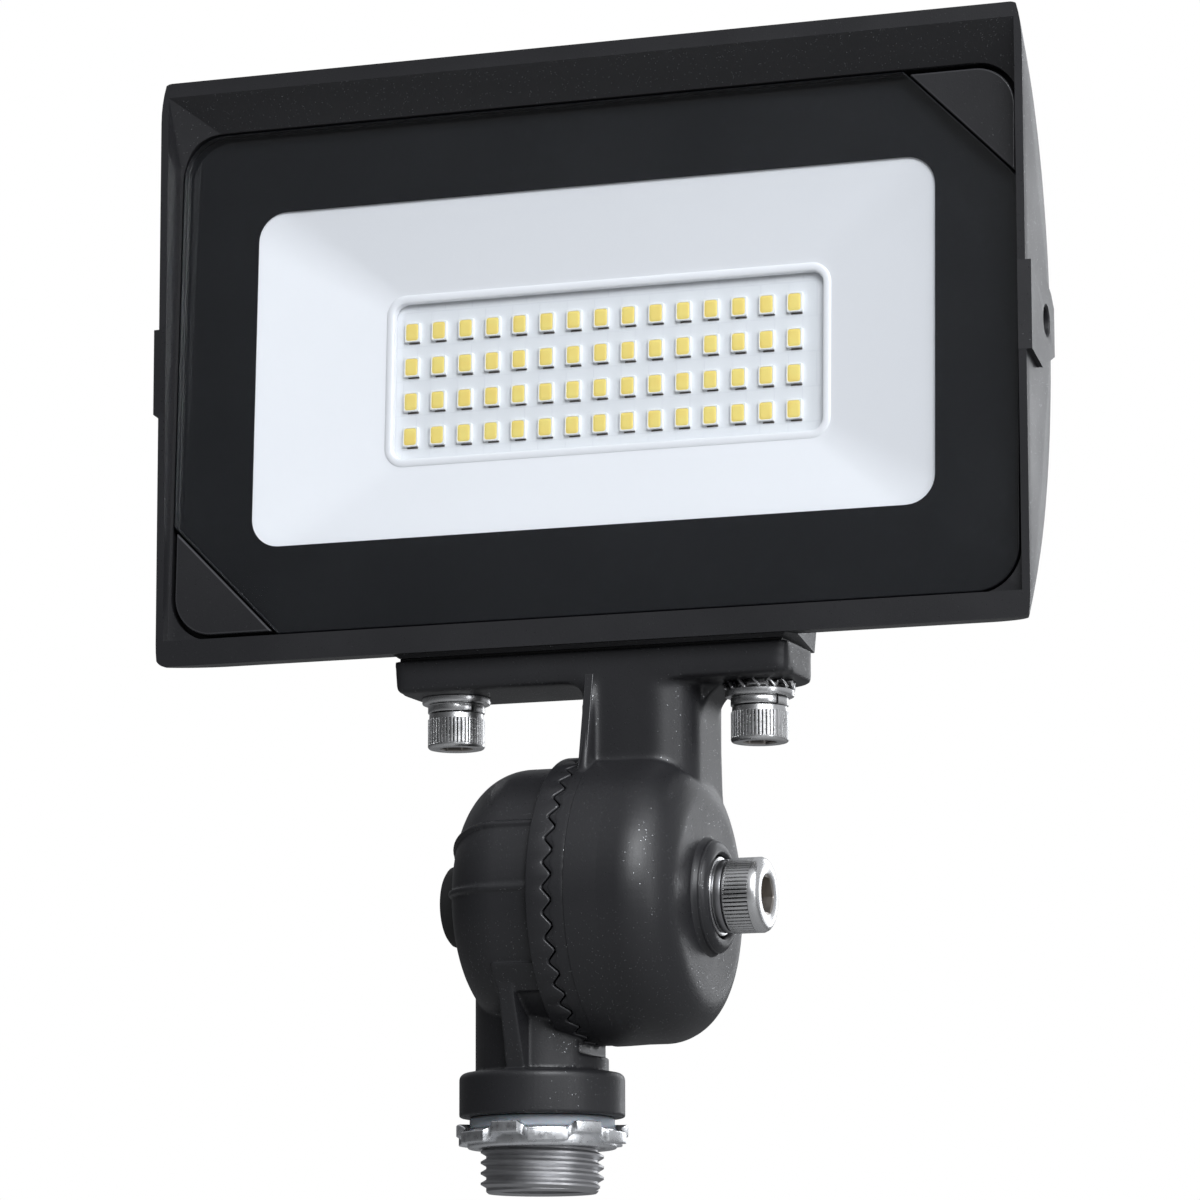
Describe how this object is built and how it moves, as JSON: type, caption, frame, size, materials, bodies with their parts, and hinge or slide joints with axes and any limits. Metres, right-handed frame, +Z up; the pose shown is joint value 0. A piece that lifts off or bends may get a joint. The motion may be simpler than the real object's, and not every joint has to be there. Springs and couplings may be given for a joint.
{
  "type": "led flood light",
  "caption": "Slim LED flood light with a D-shaped finned housing on a toothed tilting knuckle that ends in a threaded nipple with a locknut.",
  "frame": {"origin": "centre of the threaded nipple's lower end", "axes": "+Z up along the nipple, -Y the way the light shines, +X along the knuckle's pivot towards the pivot bolt's head"},
  "size_m": [0.162, 0.0498, 0.1993],
  "materials": {
    "powder_coat": "satin",
    "zinc_casting": "matte",
    "zinc_plate": "gloss",
    "stainless": "gloss",
    "clear_glass": "gloss",
    "black_print": "gloss",
    "black_rubber": "matte",
    "grey_silicone": "matte",
    "white_plastic": "matte",
    "white_board": "satin",
    "led_white": "satin",
    "phosphor": "satin",
    "driver_potting": "matte",
    "wire_insulation": "satin"
  },
  "bodies": {
    "base": {"knuckle_base": "powder_coat", "threaded_nipple": "zinc_casting", "end_plug": "black_rubber", "knuckle_seal": "black_rubber"},
    "seal_ring": {"sealing_washer": "grey_silicone"},
    "nut": {"locknut": "zinc_plate"},
    "head": {"housing": "powder_coat", "corner_clip_upper": "powder_coat", "corner_clip_lower": "powder_coat", "front_glass": "clear_glass", "glass_border": "black_print", "glass_gasket": "grey_silicone", "reflector": "white_plastic", "led_board": "white_board", "led_packages": "led_white", "led_phosphors": "phosphor", "thermal_pad": "grey_silicone", "board_screws": "stainless", "led_driver": "driver_potting", "driver_screws": "stainless", "driver_leads": "wire_insulation", "bracket_gasket": "black_rubber", "bracket_bolts": "stainless", "bracket_spring_washers": "stainless", "bracket_flat_washers": "stainless", "grounding_washer": "stainless", "knuckle_arm": "powder_coat"},
    "pivot_washers": {"pivot_flat_washer": "stainless", "pivot_spring_washer": "stainless"},
    "pivot_screw": {"pivot_bolt": "stainless"}
  },
  "joints": [
    {"name": "knuckle_tilt", "type": "hinge", "parent": "base", "child": "head", "pos_m": [0.01, 0, 0.05], "axis": [1, 0, 0], "range_deg": [-90, 90]},
    {"name": "pivot_bolt_travel", "type": "slide", "parent": "base", "child": "pivot_washers", "axis": [1, 0, 0], "range_m": [0, 0.003]},
    {"name": "pivot_bolt_turn", "type": "hinge", "parent": "pivot_washers", "child": "pivot_screw", "pos_m": [0.038, 0, 0.05], "axis": [1, 0, 0], "range_deg": [0, 720]},
    {"name": "locknut_travel", "type": "slide", "parent": "base", "child": "seal_ring", "axis": [0, 0, -1], "range_m": [0, 0.00727]},
    {"name": "locknut_turn", "type": "hinge", "parent": "seal_ring", "child": "nut", "pos_m": [0, 0, 0.009], "axis": [0, 0, -1], "range_deg": [0, 1440]}
  ],
  "couplings": [
    {"joint": "pivot_bolt_travel", "follows": "pivot_bolt_turn", "m_per_rad": 0.00019894},
    {"joint": "locknut_travel", "follows": "locknut_turn", "m_per_rad": 0.00028871}
  ]
}
